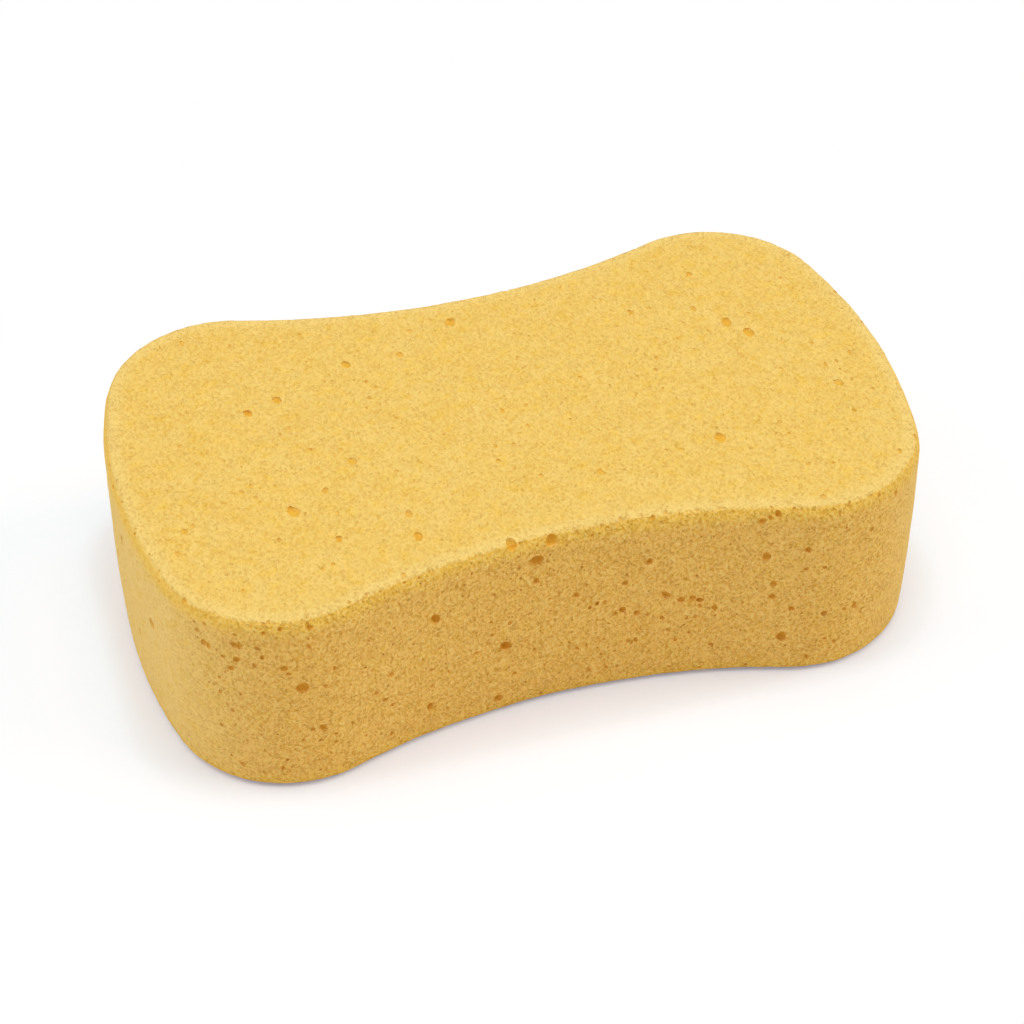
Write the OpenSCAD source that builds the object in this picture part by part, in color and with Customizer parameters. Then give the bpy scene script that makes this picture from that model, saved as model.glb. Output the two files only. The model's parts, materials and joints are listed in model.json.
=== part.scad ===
// Waisted cleaning sponge: one block of open-celled foam, cut in a single piece.
// Origin: middle of the underside. X runs along the block, Y across it, Z up.

/* [Block] */
// Overall length
block_l = 220; // [180:1:260]
// Width across the two wide ends
block_w = 130; // [112:1:156]
// Width across the narrow middle
waist_w = 107; // [89:1:111]
// Thickness
block_h = 60.5; // [40:0.5:80]

/* [Rounding] */
// Radius of the bowed ends, seen from above
end_r = 157; // [125:1:220]
// Radius of the four corners, seen from above
corner_r = 34.5; // [26:0.5:42]
// Radius of the top and bottom edges
edge_r = 3.5; // [1:0.5:6]

/* [Bubbles] */
// Mouth width of a large bubble
large_d = 3.6; // [2:0.2:5]
// Mouth width of a middling bubble
middling_d = 2.8; // [1.6:0.2:4]
// Mouth width of a small bubble
small_d = 2.2; // [1.2:0.2:3]
// How far a bubble's centre lies below the skin, as a share of its mouth
bubble_sink = 0.25; // [0.1:0.05:0.4]

/* [Hidden] */
$fn = 120;

// The outline is a chain of tangent arcs: bowed ends, round corners and hollow waists.
// A corner's centre sits on the line from an end's centre to where the two arcs meet,
// and on the line from a waist's centre to where those meet. The angles of the two
// lines are kept to a thousandth of a degree, and the radii below follow them.
function thousandths(v) = round(v * 1000) / 1000;
corner_y = block_w / 2 - corner_r;
end_turn = thousandths(asin(corner_y / (end_r - corner_r)));
end_reach = corner_y / sin(end_turn);
bow_r = end_reach + corner_r;
end_x = block_l / 2 - bow_r;
corner_x = end_x + end_reach * cos(end_turn);
dip = block_w / 2 - waist_w / 2;
waist_turn = thousandths(2 * atan2(dip, corner_x));
waist_reach = corner_x / sin(waist_turn);
waist_r = waist_reach - corner_r;
waist_y = corner_y + waist_reach * cos(waist_turn);

// Where along X the waist gives way to a corner, and a corner to an end
waist_end_x = waist_r * sin(waist_turn);
corner_end_x = end_x + bow_r * cos(end_turn);

// Every rim strip is one corner radius deep, and the core overlaps all of them. Its
// sides lie midway between the corners' centres and the rounded edges of the waist.
rim_depth = corner_r;
core_l = block_l - corner_r;
core_w = corner_y + waist_w / 2 - edge_r;

// Half of the block's width at a distance x from the middle
function half_width(x) =
    abs(x) < waist_end_x ? waist_y - sqrt(pow(waist_r, 2) - pow(x, 2))
    : abs(x) < corner_end_x ? corner_y + sqrt(pow(corner_r, 2) - pow(abs(x) - corner_x, 2))
    : sqrt(pow(bow_r, 2) - pow(abs(x) - end_x, 2));

// Half of the block's length along the bowed end, at a distance y from the middle
function half_length(y) = end_x + sqrt(pow(bow_r, 2) - pow(y, 2));

// Bubbles on the top: along the length and across the local width, in hundredths
// of the half size, then the width of the mouth.
TOP_BUBBLES = [
    [-62, 30, middling_d], [-54, 36, middling_d], [-34, 56, middling_d], [-20, 58, small_d],
    [-4, 78, large_d], [-42, -14, middling_d], [-60, -36, large_d], [-34, -58, small_d],
    [-34, -74, middling_d], [-52, -60, small_d], [-86, -40, small_d], [-14, -96, large_d],
    [14, -60, small_d], [46, -48, large_d], [42, 52, small_d], [58, 42, small_d],
    [62, 66, small_d], [64, 28, large_d], [68, 18, large_d], [82, -28, middling_d],
];

// Bubbles on the long front side: along the length in hundredths of the half
// length, up the side in hundredths of the thickness, then the width of the mouth.
SIDE_BUBBLES = [
    [-8, 88, large_d], [-34, 72, large_d], [-16, 42, large_d], [-68, 62, large_d],
    [2, 62, small_d], [-18, 10, middling_d], [-36, 20, middling_d], [-46, 50, small_d],
    [-82, 86, small_d], [-88, 82, small_d], [24, 54, small_d], [48, 72, middling_d],
    [50, 56, small_d], [50, 48, small_d], [52, 24, large_d], [-64, 36, small_d],
];

// Bubbles on a bowed end: across in hundredths of the half width, then as above
END_BUBBLES = [
    [-48, 66, small_d], [-30, 28, middling_d], [-8, 54, small_d],
    [12, 80, middling_d], [26, 38, small_d], [46, 62, large_d],
];

// Section through the rim, with its outer face on the Y axis and its foot at 0
module rim_section() {
    translate([-rim_depth, 0])
        square([rim_depth - edge_r, block_h]);
    translate([-edge_r, edge_r])
        square([edge_r, block_h - 2 * edge_r]);
    for (z = [edge_r, block_h - edge_r])
        translate([-edge_r, z])
            circle(r = edge_r);
}

// A move made in two steps, the second under a thousandth, so that arcs meet exactly
module place(v) {
    coarse = [for (c = v) thousandths(c)];
    translate(coarse)
        translate(v - coarse)
            children();
}

// A rim strip along an arc, from one angle and through another. Its section faces
// away from the arc's centre, or towards it where the outline is hollow.
module rim_strip(centre, r, from, sweep, hollow = false) {
    place(centre)
        rotate_extrude(angle = sweep, start = from)
            place([r, 0])
                mirror([hollow ? 1 : 0, 0])
                    rim_section();
}

module block() {
    translate([-core_l / 2, -core_w / 2, 0])
        cube([core_l, core_w, block_h]);
    for (turn = [0, 180])
        rotate([0, 0, turn]) {
            rim_strip([end_x, 0, 0], bow_r, -end_turn, 2 * end_turn);
            rim_strip([0, -waist_y, 0], waist_r, 90 - waist_turn, 2 * waist_turn, hollow = true);
            rim_strip([corner_x, corner_y, 0], corner_r, end_turn, 90 + waist_turn - end_turn);
            mirror([0, 1, 0])
                rim_strip([corner_x, corner_y, 0], corner_r, end_turn, 90 + waist_turn - end_turn);
        }
}

// The hollow that one bubble leaves under a skin at Z = 0: its centre is below the
// skin, so that the hollow is wider inside than at its mouth. The quarter turn keeps
// the sphere's seam off the line along which a long side bends.
module bubble(mouth) {
    translate([0, 0, -bubble_sink * mouth])
        rotate([0, 0, 90])
            sphere(d = mouth * sqrt(1 + pow(2 * bubble_sink, 2)), $fn = 48);
}

module top_bubbles() {
    for (b = TOP_BUBBLES) {
        x = b[0] / 100 * block_l / 2;
        translate([x, b[1] / 100 * half_width(x), block_h])
            bubble(b[2]);
    }
}

module side_bubbles() {
    for (b = SIDE_BUBBLES) {
        x = b[0] / 100 * block_l / 2;
        translate([x, -half_width(x), b[1] / 100 * block_h])
            rotate([90, 0, 0])
                bubble(b[2]);
    }
}

module end_bubbles() {
    for (b = END_BUBBLES) {
        y = b[0] / 100 * block_w / 2;
        translate([half_length(y), y, b[1] / 100 * block_h])
            rotate([0, 90, 0])
                bubble(b[2]);
    }
}

// The underside, the back and the far end carry the same bubbles, turned half round.
module sponge() {
    color([0.94, 0.78, 0.41])
        difference() {
            block();
            top_bubbles();
            translate([0, 0, block_h])
                rotate([180, 0, 0])
                    top_bubbles();
            for (turn = [0, 180])
                rotate([0, 0, turn]) {
                    side_bubbles();
                    end_bubbles();
                }
        }
}

sponge();
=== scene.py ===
"""Looks of a waisted cleaning sponge: one block of open-celled foam. Lengths are in metres."""

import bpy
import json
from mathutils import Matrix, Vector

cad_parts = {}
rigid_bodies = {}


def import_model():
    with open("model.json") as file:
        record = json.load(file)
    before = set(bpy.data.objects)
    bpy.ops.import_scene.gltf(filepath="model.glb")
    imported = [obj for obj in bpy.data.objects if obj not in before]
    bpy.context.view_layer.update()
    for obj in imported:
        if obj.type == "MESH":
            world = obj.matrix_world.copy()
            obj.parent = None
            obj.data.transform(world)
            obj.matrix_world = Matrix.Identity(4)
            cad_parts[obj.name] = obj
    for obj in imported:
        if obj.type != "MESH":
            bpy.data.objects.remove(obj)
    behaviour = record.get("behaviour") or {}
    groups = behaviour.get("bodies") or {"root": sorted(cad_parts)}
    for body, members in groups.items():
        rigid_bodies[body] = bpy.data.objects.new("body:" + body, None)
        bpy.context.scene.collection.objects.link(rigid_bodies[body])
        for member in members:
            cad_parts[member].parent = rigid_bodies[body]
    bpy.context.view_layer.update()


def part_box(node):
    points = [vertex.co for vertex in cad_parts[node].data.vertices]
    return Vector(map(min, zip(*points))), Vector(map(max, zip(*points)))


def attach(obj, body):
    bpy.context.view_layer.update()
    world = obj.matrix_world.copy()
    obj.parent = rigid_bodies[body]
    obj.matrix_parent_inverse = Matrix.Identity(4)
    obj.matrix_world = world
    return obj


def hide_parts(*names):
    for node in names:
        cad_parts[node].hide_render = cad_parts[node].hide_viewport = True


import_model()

import bisect
import itertools
import json
import math
import random

import bmesh
import bpy
from mathutils import Matrix, Vector, noise
from mathutils.bvhtree import BVHTree
from mathutils.kdtree import KDTree

# Sizes of the block. The frame gives its box; the rest of its outline repeats the part's.
LOW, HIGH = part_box("sponge")
LENGTH, WIDTH, HEIGHT = HIGH - LOW
WAIST_WIDTH = 0.107
END_RADIUS = 0.157
CORNER_RADIUS = 0.0345

# The cut of the foam: its sides swell a little, widest just under half way up, and its
# edges have worn round. The skin then lies a little way inside the plain block.
TOP_EDGE_RADIUS = 0.0011
FOOT_EDGE_RADIUS = 0.003
WIDEST = 0.42 * HEIGHT
TOP_TUCK = 0.0005
FOOT_TUCK = 0.0007
RIM_ROLL = 0.0016
RIM_ROLL_HEIGHT = 0.0055

# Lumps of the skin: how far apart they lie, and how deep they go
LUMPS = [(0.022, 0.0003), (0.007, 0.00016), (0.0028, 0.0002)]

# Spacing of the block's mesh, round its outline, up its sides, over its flat faces and
# inwards from their edges, and the number of strips that round an edge
OUTLINE_STEP = 0.0012
SIDE_STEP = 0.0018
FACE_STEP = 0.0024
RIM_STEPS = (0.0007, 0.001, 0.0014, 0.0018)
EDGE_STRIPS = 5

# Marks on faces: the usual one, and that of the middle of the top and underside while it
# is cut into a grid
PLAIN = 0
FLAT_MARK = 1

# How near two points are one, and how near a cut goes through a point
SAME_PLACE = 1e-6
ON_CUT = 1e-7

# How far a normal points up or down: at least this on a flat face, at most this on an
# upright one, and between these where the flat faces break into the sides
FLAT_TILT = 0.999
UPRIGHT_TILT = 0.001
RIM_TILT = (0.4, 0.9)

# Widths of the bubbles' mouths, down to a speck that only needs a rough ball
LARGE = 0.0031
MIDDLING = 0.0025
SMALL = 0.0019
TINY = 0.0013
SPECK = 0.0011

# Bubbles on the top: along the length and across the local width, in hundredths of the
# half size. The underside has the same, turned over.
TOP_BUBBLES = [
    (-62, 30, MIDDLING), (-54, 36, MIDDLING), (-34, 56, MIDDLING), (-20, 58, SMALL),
    (-4, 78, LARGE), (-42, -14, MIDDLING), (-60, -36, LARGE), (-34, -58, SMALL),
    (-34, -74, MIDDLING), (-52, -60, SMALL), (-86, -40, SMALL), (-14, -96, LARGE),
    (14, -60, SMALL), (46, -48, LARGE), (42, 52, SMALL), (58, 42, SMALL),
    (62, 66, SMALL), (64, 28, LARGE), (68, 18, LARGE), (82, -28, MIDDLING),
]

# Bubbles on the long front side: along the length in hundredths of its half, and up the
# side in hundredths of the height. The back has the same, turned half round.
SIDE_BUBBLES = [
    (-8, 88, LARGE), (-34, 72, LARGE), (-16, 42, LARGE), (-68, 62, LARGE),
    (2, 62, SMALL), (-18, 10, MIDDLING), (-36, 20, MIDDLING), (-46, 50, SMALL),
    (-82, 86, SMALL), (-88, 82, SMALL), (24, 54, SMALL), (48, 72, MIDDLING),
    (50, 56, SMALL), (50, 48, SMALL), (53, 23, LARGE), (-64, 36, SMALL), (-4, 96, LARGE),
]

# Bubbles on a bowed end: across in hundredths of the half width, then as above
END_BUBBLES = [
    (-48, 66, SMALL), (-30, 28, MIDDLING), (-8, 54, SMALL),
    (12, 80, MIDDLING), (26, 38, SMALL), (46, 62, LARGE),
]

# Small bubbles and tiny pores, in millimetres: on the top along and across, and on the
# front along and up. The other faces have the same, turned as above.
TOP_PORES = [
    (-35, 16), (-34, 23), (-32, 20), (-59, 10), (-48, -3), (5, 0), (-8, -14), (-3, -15),
    (-9, -20), (0, -29), (-36, -16), (78, 20), (49, 17), (46, 9), (44, 4), (23, 7),
    (16, -33), (69, -46), (98, -22), (-74, -10), (-77, -12), (-74, -15), (-72, -33),
    (-92, -21), (-98, -30), (-64, -47), (-61, -46), (68, -59),
]
SIDE_SMALL = [
    (-96, 49), (-89, 52), (-90, 47), (-79, 45), (-70, 21), (-9, 46), (15, 29), (19, 27),
    (22, 45), (27, 32), (31, 30), (34, 30), (36, 29), (40, 26), (51, 56), (55, 58),
    (63, 46), (69, 22), (78, 22),
]
SIDE_PORES = [
    (-73, 22), (-98, 53), (-85, 52), (-84, 49), (-86, 46), (-93, 47), (-78, 43), (-95, 21),
    (-83, 57), (-79, 58), (-67, 15), (-71, 17), (-86, 6), (-15, 14), (-39, 20), (-39, 26),
    (6, 32), (8, 33), (10, 33), (13, 28), (22, 26), (26, 24), (28, 19), (35, 23), (36, 27),
    (19, 17), (17, 17), (30, 15), (53, 57), (63, 39), (68, 39), (75, 22),
]

# Pores too many to place by hand: how many, and the range of their widths
PORE_SETS = [(160, SPECK, 0.0017), (700, 0.0007, SPECK)]
PORE_SEED = 7

# Nicks where pores have broken the rim: how many, and the range of their widths
RIM_NICKS = (90, 0.0007, 0.0015)

# Pores gather into drifts over this length, where a drift's strength passes a limit drawn
# from this range. Fewer lie on the flat faces, and each keeps clear of the others by a
# share of their widths.
PORE_DRIFT = 0.012
DRIFT_LIMITS = (-0.6, 0.3)
FLAT_SHARE = 0.3
CLEARANCE = 0.8

# Form of a bubble: how far its middle lies below the skin and how wide its bulges are, as
# shares of its mouth, and how far they stand out, as a share of its radius
BUBBLE_SINK = 0.06
BULGE_WIDTH = 0.6
BUBBLE_UNEVEN = 0.32

# Its depth, less on the flats, and its stretch, both as shares of its radius. It is drawn
# out along Y on the flats, and upwards on the sides.
BUBBLE_DEPTH = (0.8, 1.1)
FLAT_SHALLOWER = 0.28
BUBBLE_STRETCH = (0.9, 1.12)
FLAT_REACH = 0.3
SIDE_REACH = 0.15

# Each bubble takes its bulges from its own place in the noise, this far off at most
NOISE_REACH = 100

# Depth at which a bubble has its full painted shade, how far from the rim the painted
# highlight and the painted band of light under it reach, and the bend past which an edge
# stays crisp
FULL_DEPTH = 0.0012
RIM_REACH = 0.005
SHARP_ANGLE = math.radians(40)

# Foam: spacing of its fine and coarse cells, how deep they look, how far they are drawn
# out along each axis, and how their lattice warps
FINE_CELL = 0.0008
COARSE_CELL = 0.0017
CELL_DEPTH = 0.00028
CELL_REACH = (1, 1.3, 1.2)
CELL_WARP = 0.0008
CELL_WARP_SPACING = 0.001

# A cell opens between two distances from its wall, and from one number to another of
# those that each cell is given. Coarse cells also follow the drifts.
FINE_WALL = (0.03, 0.3)
FINE_NUMBERS = (0.1, 0.9)
COARSE_WALL = (0.12, 0.4)
COARSE_NUMBERS = (0.8, 1.15)
COARSE_DRIFT = 0.6

# Depth of the pits that they leave, and height of the threads between them
FINE_PIT = 0.7
COARSE_PIT = 0.75
THREAD_HEIGHT = 2

# How open the foam is on the flats, how much more on the sides and less on the ends, and
# how much of it a bubble's bottom loses
FLAT_OPEN = 0.6
SIDE_OPENS = 0.45
END_CLOSES = 0.27
BUBBLE_CLOSES = 0.7

# Spacing of the foam's threads, patches and stains, and of the fraying along the rim,
# with how far that eats into the painted light there
GRAIN = 0.0007
PATCH = 0.007
STAIN = 0.0033
FRAY = 0.0012
FRAY_DEPTH = 0.9

# Where each of these starts to show and where it shows in full
THREAD_RISE = (0.45, 0.75)
GAP_RISE = (0.25, 0.55)
PATCH_RISE = (0.3, 0.7)
STAIN_RISE = (0.5, 0.7)
RIM_LIGHT_RISE = (0.5, 1.25)
UPWARD_RISE = (0.5, 0.9)
BUBBLE_RISE = (0, 0.8)

# How much of each colour shows where it is strongest
SIDE_SHADE_TINT = 0.85
END_LIGHT_TINT = 0.7
STAIN_TINT = 0.32
SIDE_STAIN_LOSS = 0.1
UNDER_RIM_LIGHT_TINT = 0.7
THREAD_TINT = 0.9
GAP_TINT = 0.55
PIT_TINT = 0.4
BUBBLE_SHADE_TINT = 0.85

# Colours, in linear light: the skin's pale and warm patches and its stains; the long sides,
# warmer as painted shade, and the ends, paler as painted light; a painted highlight on the
# rim and a painted band of light under it; threads, lighter as painted highlight; open
# cells, darker as painted shade; and bubbles on flats and sides, darker as painted shade
PALE_FOAM = (0.90, 0.625, 0.168, 1)
WARM_FOAM = (0.89, 0.595, 0.138, 1)
STAIN_FOAM = (0.92, 0.56, 0.045, 1)
SIDE_SHADE_FOAM = (0.985, 0.553, 0.12, 1)
END_LIGHT_FOAM = (0.98, 0.70, 0.25, 1)
RIM_HIGHLIGHT_FOAM = (0.92, 0.665, 0.205, 1)
UNDER_RIM_LIGHT_FOAM = (0.96, 0.59, 0.08, 1)
THREAD_HIGHLIGHT_FOAM = (1.0, 0.69, 0.20, 1)
PIT_SHADE_FOAM = (0.68, 0.29, 0.015, 1)
FLAT_BUBBLE_SHADE_FOAM = (0.88, 0.525, 0.055, 1)
SIDE_BUBBLE_SHADE_FOAM = (0.83, 0.43, 0.037, 1)

# The floor's colour as light meets it, then as it is seen, part shaded and part glowing.
# Near the block its shade is a little under white, a faint painted shadow; further off its
# colour takes out most of the block's yellow light, so that less of it shows.
FLOOR_WHITE = (0.8, 0.8, 0.8, 1)
NEAR_SHADED = (0.95, 0.925, 0.85, 1)
NEAR_GLOW = (0.02, 0.08, 0.195, 1)
FAR_SHADED = (1.0, 0.50, 0.37, 1)
FAR_GLOW = (0.02, 0.52, 0.65, 1)
WHITE = (1, 1, 1, 1)

# Half the size of an oblong under the block, tall enough for height not to count, and the
# distances from it over which the near floor turns into the far one, and that into white
FLOOR_MIDDLE = (0.0785, 0.0305, 1)
FLOOR_CHANGE = (0.033, 0.042)
FLOOR_WHITENS = (0.045, 0.14)
FLOOR_SIZE = 6

# Light: the room's, then softboxes by name, azimuth, elevation, size and brightness
ROOM_LIGHT = (0.32, 0.32, 0.32, 1)
LAMP_DISTANCE = 4
SOFTBOXES = [
    ("overhead", 0, 90, 3.3, 2.04),
    ("left", -110, 40, 2.7, 1.6),
    ("right", 72, 38, 2.7, 2.4),
    ("front", -40, 28, 2.7, 0.9),
]

# Camera: azimuth, elevation and roll in degrees, its distance, lens, shift and reach
VIEW = (-17.17, 41.39, -0.21)
VIEW_DISTANCE = 0.7066
LENS = 88.62
SHIFT = (0.0032, -0.021)
SIGHT = 10

# Sockets of a Mix node that mixes two colours
MIX_SHARE = 0
MIX_PLAIN = 6
MIX_OTHER = 7
MIXED = 2


def as_object(name, bm):
    """A new object in the scene with the mesh's shape. The bmesh is freed."""
    mesh = bpy.data.meshes.new(name)
    bm.to_mesh(mesh)
    bm.free()
    made = bpy.data.objects.new(name, mesh)
    bpy.context.collection.objects.link(made)
    return made


def apply_modifiers(thing):
    """Makes what an object's modifiers show its own mesh."""
    shown = thing.evaluated_get(bpy.context.evaluated_depsgraph_get())
    mesh = bpy.data.meshes.new_from_object(shown)
    mesh.materials.clear()
    thing.modifiers.clear()
    thing.data = mesh


def corner_and_waist():
    """Centres of the bowed end, a corner and a waist, and the angles where their arcs meet."""
    corner_y = WIDTH / 2 - CORNER_RADIUS
    end_turn = math.asin(corner_y / (END_RADIUS - CORNER_RADIUS))
    end = Vector((LENGTH / 2 - END_RADIUS, 0, 0))
    corner = Vector((end.x + (END_RADIUS - CORNER_RADIUS) * math.cos(end_turn), corner_y, 0))
    waist_turn = 2 * math.atan2((WIDTH - WAIST_WIDTH) / 2, corner.x)
    waist = Vector((0, corner_y + corner.x / math.tan(waist_turn), 0))
    return end, corner, waist, end_turn, waist_turn


def sweep(bm, vertex, centre, angle):
    """Sweeps a vertex about a centre, leaving edges behind it. Returns the arc's far end."""
    steps = max(2, round(abs(angle) * (vertex.co - centre).length / OUTLINE_STEP))
    made = bmesh.ops.spin(
        bm, geom=[vertex], cent=centre, axis=(0, 0, 1), dvec=(0, 0, 0),
        angle=angle, steps=steps, space=Matrix(), use_duplicate=False,
    )
    return next(g for g in made["geom_last"] if isinstance(g, bmesh.types.BMVert))


def outline(bm):
    """The block's outline on the floor: a quarter of tangent arcs, mirrored twice."""
    end, corner, waist, end_turn, waist_turn = corner_and_waist()
    vertex = bm.verts.new((LENGTH / 2, 0, 0))
    vertex = sweep(bm, vertex, end, end_turn)
    vertex = sweep(bm, vertex, corner, math.pi / 2 + waist_turn - end_turn)
    sweep(bm, vertex, waist, -waist_turn)
    for axis in "XY":
        quarter = bm.verts[:] + bm.edges[:]
        bmesh.ops.mirror(bm, geom=quarter, matrix=Matrix(), merge_dist=SAME_PLACE, axis=axis)
    bmesh.ops.remove_doubles(bm, verts=bm.verts[:], dist=SAME_PLACE)


def tuck(height):
    """How far the side lies inside its widest outline at a height."""
    roll = RIM_ROLL * max(0, 1 - (HEIGHT - height) / RIM_ROLL_HEIGHT) ** 2
    if height > WIDEST:
        return TOP_TUCK * ((height - WIDEST) / (HEIGHT - WIDEST)) ** 2 + roll
    return FOOT_TUCK * ((WIDEST - height) / WIDEST) ** 2


def raise_block(bm):
    """Draws the outline up into a closed block with round edges."""
    foot = bmesh.ops.contextual_create(bm, geom=bm.edges[:])["faces"][0]
    made = bmesh.ops.extrude_face_region(bm, geom=[foot], use_keep_orig=True)["geom"]
    top = [g for g in made if isinstance(g, bmesh.types.BMVert)]
    bmesh.ops.translate(bm, vec=(0, 0, HEIGHT), verts=top)
    bmesh.ops.recalc_face_normals(bm, faces=bm.faces[:])
    for height, radius in ((HEIGHT, TOP_EDGE_RADIUS), (0, FOOT_EDGE_RADIUS)):
        rim = [e for e in bm.edges if all(abs(v.co.z - height) < SAME_PLACE for v in e.verts)]
        bmesh.ops.bevel(
            bm, geom=rim, offset=radius, offset_type="OFFSET", segments=EDGE_STRIPS, profile=0.5,
            affect="EDGES", material=-1,
        )


def cut_lines(bm, axis, start, stop, step, wanted):
    """Cuts the wanted faces along evenly spaced planes."""
    cuts = round((stop - start) / step)
    for i in range(1, cuts):
        faces = [f for f in bm.faces if wanted(f)]
        # A dict drops repeats as a set does, and gives the same order on every run
        bounds = dict.fromkeys(part for f in faces for part in (*f.edges, *f.verts))
        parts = faces + list(bounds)
        place = Vector(axis) * (start + (stop - start) * i / cuts)
        bmesh.ops.bisect_plane(bm, geom=parts, dist=ON_CUT, plane_co=place, plane_no=axis)


def is_upright(face):
    """Whether a face belongs to the sides between the round edges."""
    return abs(face.normal.z) < UPRIGHT_TILT


def ring_flats(bm):
    """Lays narrow rings inside the edges of the top and underside, and marks what they leave."""
    for side in (1, -1):
        flat = [f for f in bm.faces if f.normal.z * side > FLAT_TILT]
        inner = max(flat, key=lambda f: f.calc_area())
        for step in RIM_STEPS:
            bmesh.ops.inset_individual(bm, faces=[inner], thickness=step)
        inner.material_index = FLAT_MARK


def is_flat(face):
    """Whether a face belongs to the marked middle of the top or underside."""
    return face.material_index == FLAT_MARK


def put_in_order(bm):
    """Sorts the faces by their points, because a bevel leaves them in no fixed order."""
    bm.verts.index_update()
    ranked = sorted(bm.faces, key=lambda f: sorted(v.index for v in f.verts))
    for rank, face in enumerate(ranked):
        face.index = rank
    bm.faces.sort()


def swell_sides(bm):
    """Draws the sides in towards the top and the foot, so that they swell in between."""
    bm.normal_update()
    for v in bm.verts:
        v.co -= Vector((v.normal.x, v.normal.y, 0)).normalized() * tuck(v.co.z)


def roughen(bm):
    """Sinks the skin by soft lumps, never above its cut size, and keeps the foot on the floor."""
    bm.normal_update()
    sunk = []
    for v in bm.verts:
        depth = sum(size * (0.5 + 0.5 * noise.noise(v.co / spacing)) for spacing, size in LUMPS)
        sunk.append(v.co - v.normal * depth)
    for v, place in zip(bm.verts, sunk):
        v.co = place
    foot = min(v.co.z for v in bm.verts)
    bmesh.ops.translate(bm, verts=bm.verts[:], vec=(0, 0, -foot))


def half_width(x):
    """Half of the block's width at a distance x from its middle."""
    end, corner, waist, end_turn, waist_turn = corner_and_waist()
    x = abs(x)
    if x < corner.x - CORNER_RADIUS * math.sin(waist_turn):
        return waist.y - math.sqrt((waist.y - WAIST_WIDTH / 2) ** 2 - x**2)
    if x < end.x + END_RADIUS * math.cos(end_turn):
        return corner.y + math.sqrt(CORNER_RADIUS**2 - (x - corner.x) ** 2)
    return math.sqrt(END_RADIUS**2 - (x - end.x) ** 2)


def placed_bubbles(skin):
    """The listed bubbles: each a point on the skin, its normal and the mouth's width."""
    lookouts = []
    for along, across, mouth in TOP_BUBBLES:
        x = along / 100 * LENGTH / 2
        y = across / 100 * half_width(x)
        lookouts.append(((x, y, 2 * HEIGHT), (0, 0, -1), mouth))
        lookouts.append(((x, -y, -HEIGHT), (0, 0, 1), mouth))
    for x, y in TOP_PORES:
        lookouts.append(((x / 1000, y / 1000, 2 * HEIGHT), (0, 0, -1), TINY))
        lookouts.append(((x / 1000, -y / 1000, -HEIGHT), (0, 0, 1), TINY))
    for side in (1, -1):
        for pores, mouth in ((SIDE_SMALL, SMALL), (SIDE_PORES, TINY)):
            for x, z in pores:
                lookouts.append(((side * x / 1000, -side * WIDTH, z / 1000), (0, side, 0), mouth))
        for along, up, mouth in SIDE_BUBBLES:
            x = along / 100 * LENGTH / 2
            z = up / 100 * HEIGHT
            lookouts.append(((side * x, -side * WIDTH, z), (0, side, 0), mouth))
        for across, up, mouth in END_BUBBLES:
            y = across / 100 * WIDTH / 2
            z = up / 100 * HEIGHT
            lookouts.append(((side * LENGTH, side * y, z), (-side, 0, 0), mouth))
    found = []
    for lookout, direction, mouth in lookouts:
        place, normal, _, _ = skin.ray_cast(Vector(lookout), Vector(direction))
        found.append((place, normal, mouth))
    return found


def scattered_pores(mesh, taken, count, narrowest, widest, draw):
    """Pores strewn over the skin in loose drifts, clear of each other and of the taken bubbles."""
    reach = list(itertools.accumulate(face.area for face in mesh.polygons))
    pores = []
    while len(pores) < count:
        face = mesh.polygons[bisect.bisect(reach, draw.random() * reach[-1])]
        place = face.center + Vector([draw.uniform(-1, 1) for _ in range(3)]) * FACE_STEP / 2
        place -= face.normal * (place - face.center).dot(face.normal)
        mouth = narrowest + (widest - narrowest) * draw.random() ** 2
        scarce = draw.random() > FLAT_SHARE + abs(face.normal.y)
        if scarce or noise.noise(place / PORE_DRIFT) < draw.uniform(*DRIFT_LIMITS):
            continue
        others = taken + pores
        if all((place - other).length > CLEARANCE * (mouth + width) for other, _, width in others):
            pores.append((place, face.normal.copy(), mouth))
    return pores


def rim_of(bm):
    """The points where the top and the underside break into the sides."""
    lowest, highest = RIM_TILT
    return [v for v in bm.verts if lowest < abs(v.normal.z) < highest]


def nicks(bm, draw):
    """Pores that break the edges of the top and the underside."""
    count, narrowest, widest = RIM_NICKS
    nicked = draw.sample(rim_of(bm), count)
    return [(v.co.copy(), v.normal.copy(), draw.uniform(narrowest, widest)) for v in nicked]


def hollow(place, normal, mouth, draw):
    """A lopsided ball that cuts one bubble, drawn out along Y on the flats and up the sides."""
    stretch = draw.uniform(*BUBBLE_STRETCH)
    flat = abs(normal.z)
    radius = mouth / 2 * math.hypot(1, 2 * BUBBLE_SINK)
    spin = Matrix.Rotation(draw.uniform(0, math.tau), 4, "Z")
    turn = normal.to_track_quat("Z", "Y").to_matrix().to_4x4() @ spin
    depth = draw.uniform(*BUBBLE_DEPTH) - FLAT_SHALLOWER * flat
    size = Matrix.Diagonal((radius * stretch, radius / stretch, radius * depth, 1))
    drawn_out = Matrix.Diagonal((1, 1 + FLAT_REACH * flat, 1 + SIDE_REACH * (1 - flat), 1))
    middle = place - normal * BUBBLE_SINK * mouth
    form = Matrix.Translation(middle) @ drawn_out @ turn @ size
    fineness = 1 + (mouth > SPECK) + (mouth > TINY)
    bm = bmesh.new()
    bmesh.ops.create_icosphere(bm, subdivisions=fineness, radius=1, matrix=form)
    seed = Vector([draw.uniform(-NOISE_REACH, NOISE_REACH) for _ in range(3)])
    for v in bm.verts:
        bulge = noise.noise((v.co - place) / (BULGE_WIDTH * mouth) + seed)
        v.co += (v.co - middle) * BUBBLE_UNEVEN * bulge
    return as_object("hollow", bm)


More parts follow.
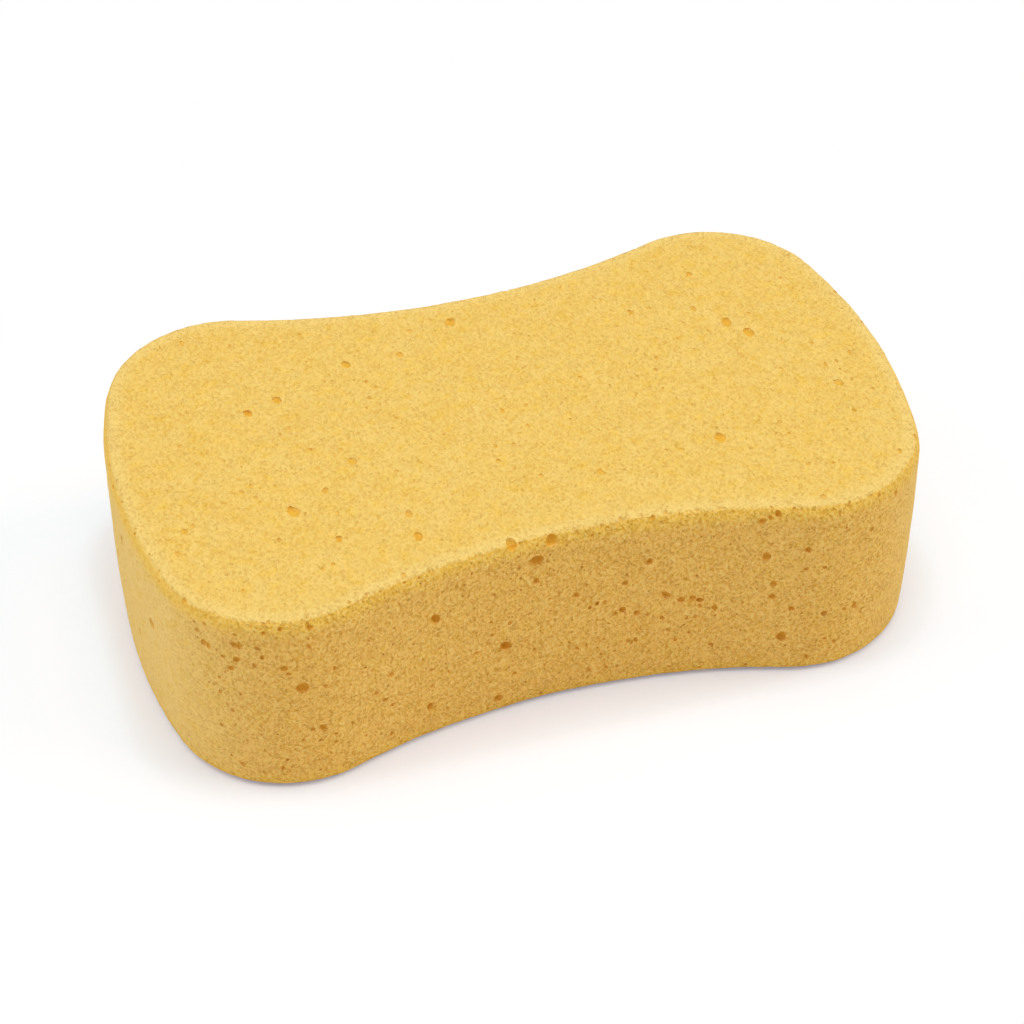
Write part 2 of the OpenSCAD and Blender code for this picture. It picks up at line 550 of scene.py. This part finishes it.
def cut_hollows(block, bubbles, draw):
    """Cuts the bubbles out of the block. Where two meet they run into one."""
    hollows = bpy.data.collections.new("hollows")
    for place, normal, mouth in bubbles:
        hollows.objects.link(hollow(place, normal, mouth, draw))
    cut = block.modifiers.new("bubbles", "BOOLEAN")
    cut.operation = "DIFFERENCE"
    cut.solver = "MANIFOLD"
    cut.operand_type = "COLLECTION"
    cut.collection = hollows
    apply_modifiers(block)
    for ball in hollows.objects[:]:
        bpy.data.objects.remove(ball)
    bpy.data.collections.remove(hollows)


def rim_finder(bm):
    """A tree that finds the rim's nearest point to a place."""
    points = rim_of(bm)
    tree = KDTree(len(points))
    for i, v in enumerate(points):
        tree.insert(v.co, i)
    tree.balance()
    return tree


def note_skin(block, skin, rim):
    """Notes at each point its depth in a bubble, how near the rim it is, and the skin's normal."""
    mesh = block.data
    depth = mesh.attributes.new("depth", "FLOAT", "POINT").data
    edge = mesh.attributes.new("edge", "FLOAT", "POINT").data
    facing = mesh.attributes.new("facing", "FLOAT_VECTOR", "POINT").data
    for v in mesh.vertices:
        place, normal, _, distance = skin.find_nearest(v.co)
        _, _, from_rim = rim.find(place)
        depth[v.index].value = min(distance / FULL_DEPTH, 1)
        edge[v.index].value = max(0, 1 - from_rim / RIM_REACH)
        facing[v.index].vector = normal


def foam_block():
    """The whole sponge: a waisted block, swollen a little, with its bubbles cut out."""
    bm = bmesh.new()
    outline(bm)
    raise_block(bm)
    cut_lines(bm, (0, 0, 1), FOOT_EDGE_RADIUS, HEIGHT - TOP_EDGE_RADIUS, SIDE_STEP, is_upright)
    swell_sides(bm)
    ring_flats(bm)
    cut_lines(bm, (1, 0, 0), -LENGTH / 2, LENGTH / 2, FACE_STEP, is_flat)
    cut_lines(bm, (0, 1, 0), -WIDTH / 2, WIDTH / 2, FACE_STEP, is_flat)
    for face in bm.faces:
        face.material_index = PLAIN
    put_in_order(bm)
    roughen(bm)
    skin = BVHTree.FromBMesh(bm)
    rim = rim_finder(bm)
    draw = random.Random(PORE_SEED)
    bubbles = placed_bubbles(skin) + nicks(bm, draw)
    block = as_object("foam_block", bm)
    uncut = block.data
    for count, narrowest, widest in PORE_SETS:
        bubbles += scattered_pores(uncut, bubbles, count, narrowest, widest, draw)
    cut_hollows(block, bubbles, draw)
    note_skin(block, skin, rim)
    block.data.shade_smooth()
    block.data.set_sharp_from_angle(angle=SHARP_ANGLE)
    return block


class Wire:
    """A socket of a node tree. Arithmetic with wires and numbers adds the tree's Math nodes."""

    def __init__(self, tree, socket):
        self.tree = tree
        self.socket = socket

    def __add__(self, other):
        return self.tree.maths("ADD", self, other)

    def __radd__(self, other):
        return self.tree.maths("ADD", other, self)

    def __sub__(self, other):
        return self.tree.maths("SUBTRACT", self, other)

    def __rsub__(self, other):
        return self.tree.maths("SUBTRACT", other, self)

    def __mul__(self, other):
        return self.tree.maths("MULTIPLY", self, other)

    def __rmul__(self, other):
        return self.tree.maths("MULTIPLY", other, self)


class Nodes:
    """The node tree of a material or of the world, empty at first."""

    def __init__(self, owner):
        owner.use_nodes = True
        self.tree = owner.node_tree
        self.tree.nodes.clear()

    def node(self, kind, settings=None, inputs=None, output=0):
        """Adds a node: its settings first, then its sockets. Returns one of its outputs."""
        made = self.tree.nodes.new(kind)
        for name, value in (settings or {}).items():
            setattr(made, name, value)
        for name, value in (inputs or {}).items():
            if isinstance(value, Wire):
                self.tree.links.new(value.socket, made.inputs[name])
            else:
                made.inputs[name].default_value = value
        return Wire(self, made.outputs[output]) if made.outputs else made

    def attribute(self, name, output):
        """A value noted on the mesh's points."""
        return self.node("ShaderNodeAttribute", {"attribute_name": name}, output=output)

    def maths(self, operation, a, b=0, clamped=False):
        """One step of arithmetic on one or two values."""
        settings = {"operation": operation, "use_clamp": clamped}
        return self.node("ShaderNodeMath", settings, {0: a, 1: b})

    def vectors(self, operation, a, b=(0, 0, 0), output=0):
        """One step of arithmetic on one or two vectors."""
        return self.node("ShaderNodeVectorMath", {"operation": operation}, {0: a, 1: b}, output)

    def mix_shaders(self, share, plain, other):
        """The plain shader, turning into the other one as the share grows to 1."""
        return self.node("ShaderNodeMixShader", None, {0: share, 1: plain, 2: other})

    def rise(self, value, low, high):
        """0 where the value is under low, 1 where it is over high, and smooth in between."""
        limits = {"Value": value, "From Min": low, "From Max": high}
        return self.node("ShaderNodeMapRange", {"interpolation_type": "SMOOTHSTEP"}, limits)

    def blend(self, share, plain, other):
        """The plain colour, turning into the other one as the share grows to 1."""
        inputs = {MIX_SHARE: share, MIX_PLAIN: plain, MIX_OTHER: other}
        return self.node("ShaderNodeMix", {"data_type": "RGBA"}, inputs, MIXED)

    def lumps(self, places, spacing, detail=2, output=0):
        """Soft noise from 0 to 1 with lumps about a spacing apart."""
        inputs = {"Vector": places, "Scale": 1 / spacing, "Detail": detail}
        return self.node("ShaderNodeTexNoise", None, inputs, output)

    def cells(self, places, spacing):
        """Foam cells: how far inside its cell's walls a point is, and a number for its cell."""
        inputs = {"Vector": places, "Scale": 1 / spacing}
        inside = self.node("ShaderNodeTexVoronoi", {"feature": "DISTANCE_TO_EDGE"}, inputs)
        colour = self.node("ShaderNodeTexVoronoi", None, inputs, output="Color")
        return inside, self.node("ShaderNodeSeparateColor", None, {"Color": colour})


def foam_material():
    """Pale yellow foam: fine open cells, with painted light and shade; painted shade deeper and
    warmer inside the bubbles.
    """
    material = bpy.data.materials.new("foam")
    nodes = Nodes(material)
    places = nodes.node("ShaderNodeTexCoord", output="Object")
    depth = nodes.attribute("depth", "Fac")
    edge = nodes.attribute("edge", "Fac")
    facing = nodes.attribute("facing", "Vector")
    along, across, up = (
        nodes.node("ShaderNodeSeparateXYZ", None, {"Vector": facing}, axis) for axis in "XYZ"
    )
    end = along * along
    side = nodes.maths("ABSOLUTE", across)
    upward = nodes.rise(up, *UPWARD_RISE)

    # Cells of two sizes on a warped lattice, some open and some nearly closed, and both
    # drawn out along Y and Z as the bubbles are
    drawn = nodes.vectors("DIVIDE", places, CELL_REACH)
    warp = nodes.lumps(drawn, CELL_WARP_SPACING, output="Color")
    push = nodes.node("ShaderNodeVectorMath", {"operation": "SCALE"}, {0: warp, "Scale": CELL_WARP})
    warped = nodes.vectors("ADD", drawn, push)
    fine, fine_number = nodes.cells(warped, FINE_CELL)
    coarse, coarse_number = nodes.cells(warped, COARSE_CELL)
    drifting = coarse_number + COARSE_DRIFT * nodes.lumps(places, PORE_DRIFT)
    fine_pit = nodes.rise(fine, *FINE_WALL) * nodes.rise(fine_number, *FINE_NUMBERS)
    coarse_pit = nodes.rise(coarse, *COARSE_WALL) * nodes.rise(drifting, *COARSE_NUMBERS)
    openness = (FLAT_OPEN + SIDE_OPENS * side - END_CLOSES * end) * (1 - BUBBLE_CLOSES * depth)
    pit = (fine_pit * FINE_PIT + coarse_pit * COARSE_PIT) * openness

    # Threads of foam between the cells, lighter where they come forward: a painted highlight,
    # with painted shade in the gaps between them
    grain = nodes.lumps(drawn, GRAIN)
    thread = nodes.rise(grain, *THREAD_RISE) * openness
    gap = (1 - nodes.rise(grain, *GAP_RISE)) * openness

    # The skin: patches, then the paler ends and warmer sides, painted light and painted
    # shade, then stains
    patch = nodes.rise(nodes.lumps(places, PATCH), *PATCH_RISE)
    skin = nodes.blend(patch, PALE_FOAM, WARM_FOAM)
    # The long sides take a warmer colour: painted shade, the warm cast of the shaded sides
    sides = nodes.blend(side * SIDE_SHADE_TINT, skin, SIDE_SHADE_FOAM)
    # The ends take a paler, brighter colour: painted light, as from the floor and side lamps
    cut = nodes.blend(end * END_LIGHT_TINT, sides, END_LIGHT_FOAM)
    stain = nodes.rise(nodes.lumps(places, STAIN, detail=1), *STAIN_RISE)
    stained = nodes.blend(stain * (STAIN_TINT - SIDE_STAIN_LOSS * side), cut, STAIN_FOAM)

    # Painted light along the rim: a pale painted highlight on top, and a deeper yellow
    # painted band of light below it
    ragged_rim_light = nodes.rise(edge + FRAY_DEPTH * nodes.lumps(places, FRAY), *RIM_LIGHT_RISE)
    rim_highlight = nodes.blend(ragged_rim_light * upward, stained, RIM_HIGHLIGHT_FOAM)
    # Just under the rim the sides turn a yellower colour: painted light, where the rounded edge
    # catches the lamps
    lit_under_rim = nodes.blend(ragged_rim_light * (1 - upward) * UNDER_RIM_LIGHT_TINT, rim_highlight, UNDER_RIM_LIGHT_FOAM)

    # Painted light and shade of the fine relief: raised threads lighter, as painted highlight, and
    # gaps and pits darker and warmer, as painted shade. Both grow with the openness, so they show
    # most on the long sides.
    light = nodes.blend(thread * THREAD_TINT, lit_under_rim, THREAD_HIGHLIGHT_FOAM)
    dark = nodes.blend(gap * GAP_TINT + pit * PIT_TINT, light, PIT_SHADE_FOAM)
    # Inside the bubbles the colour turns darker and warmer with depth, and darker still on the
    # sides: painted shade, with the warm light bounced inside them
    bubble_shade = nodes.blend(side, FLAT_BUBBLE_SHADE_FOAM, SIDE_BUBBLE_SHADE_FOAM)
    colour = nodes.blend(nodes.rise(depth, *BUBBLE_RISE) * BUBBLE_SHADE_TINT, dark, bubble_shade)
    height = THREAD_HEIGHT * grain - pit
    relief = {"Height": height, "Distance": CELL_DEPTH}
    bump = nodes.node("ShaderNodeBump", None, relief, "Normal")
    shader = nodes.node(
        "ShaderNodeBsdfPrincipled", None,
        {"Base Color": colour, "Roughness": 0.9, "Specular IOR Level": 0.15, "Normal": bump},
    )
    nodes.node("ShaderNodeOutputMaterial", None, {"Surface": shader})
    return material


def seen_directly(nodes):
    """1 for rays from the camera, off a mirror or through glass, and 0 for light on its way."""
    kinds = ("Is Camera Ray", "Is Glossy Ray", "Is Transmission Ray")
    camera, glossy, through = (nodes.node("ShaderNodeLightPath", output=kind) for kind in kinds)
    return nodes.maths("ADD", camera, glossy + through, clamped=True)


def lifted(nodes, shade, glow):
    """A matt surface with a glow of its own, which lifts it towards white."""
    matt = nodes.node("ShaderNodeBsdfDiffuse", None, {"Color": shade})
    shine = nodes.node("ShaderNodeEmission", None, {"Color": glow})
    return nodes.node("ShaderNodeAddShader", None, {0: matt, 1: shine})


def floor_material():
    """White. Near the block it shows the block's shadow, deepened by a faint painted shadow;
    further off it shows less of the block's yellow light, and then turns pure white.
    """
    material = bpy.data.materials.new("floor")
    nodes = Nodes(material)
    places = nodes.node("ShaderNodeTexCoord", output="Object")
    beyond = nodes.vectors("SUBTRACT", nodes.vectors("ABSOLUTE", places), FLOOR_MIDDLE)
    away = nodes.vectors("LENGTH", nodes.vectors("MAXIMUM", beyond), output="Value")
    near = lifted(nodes, NEAR_SHADED, NEAR_GLOW)
    far = lifted(nodes, FAR_SHADED, FAR_GLOW)
    shaded = nodes.mix_shaders(nodes.rise(away, *FLOOR_CHANGE), near, far)
    white = nodes.node("ShaderNodeEmission", None, {"Color": WHITE})
    seen = nodes.mix_shaders(nodes.rise(away, *FLOOR_WHITENS), shaded, white)
    plain = nodes.node("ShaderNodeBsdfDiffuse", None, {"Color": FLOOR_WHITE})
    surface = nodes.mix_shaders(seen_directly(nodes), plain, seen)
    nodes.node("ShaderNodeOutputMaterial", None, {"Surface": surface})
    return material


def add_floor():
    """A wide plain floor under the block."""
    bm = bmesh.new()
    bmesh.ops.create_grid(bm, x_segments=1, y_segments=1, size=FLOOR_SIZE / 2)
    floor = as_object("floor", bm)
    floor.data.materials.append(floor_material())


def light_world():
    """An even pale room, which looks white."""
    world = bpy.data.worlds.new("room")
    bpy.context.scene.world = world
    nodes = Nodes(world)
    room = nodes.node("ShaderNodeBackground", None, {"Color": ROOM_LIGHT})
    white = nodes.node("ShaderNodeBackground", None, {"Color": WHITE})
    surface = nodes.mix_shaders(seen_directly(nodes), room, white)
    nodes.node("ShaderNodeOutputWorld", None, {"Surface": surface})


def looking_down(azimuth, elevation):
    """The turn that faces the middle from an azimuth and elevation, both in radians."""
    tilt = Matrix.Rotation(math.pi / 2 - elevation, 4, "X")
    return Matrix.Rotation(azimuth, 4, "Z") @ tilt


def add_softbox(name, azimuth, elevation, size, brightness):
    """A square lamp that faces the block. Its brightness is that of a lit white card."""
    data = bpy.data.lights.new(name, "AREA")
    data.size = size
    data.energy = brightness * math.pi * size**2
    lamp = bpy.data.objects.new(name, data)
    turn = looking_down(math.radians(azimuth), math.radians(elevation))
    lamp.matrix_world = turn @ Matrix.Translation((0, 0, LAMP_DISTANCE))
    bpy.context.collection.objects.link(lamp)


def add_camera():
    """A camera at a viewing angle on the block's middle."""
    data = bpy.data.cameras.new("camera")
    data.lens = LENS
    data.shift_x, data.shift_y = SHIFT
    data.clip_end = SIGHT
    camera = bpy.data.objects.new("camera", data)
    azimuth, elevation, roll = (math.radians(angle) for angle in VIEW)
    turn = looking_down(azimuth, elevation) @ Matrix.Rotation(roll, 4, "Z")
    middle = Matrix.Translation((LOW + HIGH) / 2)
    camera.matrix_world = middle @ turn @ Matrix.Translation((0, 0, VIEW_DISTANCE))
    bpy.context.collection.objects.link(camera)
    bpy.context.scene.camera = camera


block = foam_block()
block.data.materials.append(foam_material())
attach(block, "root")
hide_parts("sponge")

add_floor()
light_world()
for softbox in SOFTBOXES:
    add_softbox(*softbox)
add_camera()
bpy.context.scene.view_settings.view_transform = "Standard"
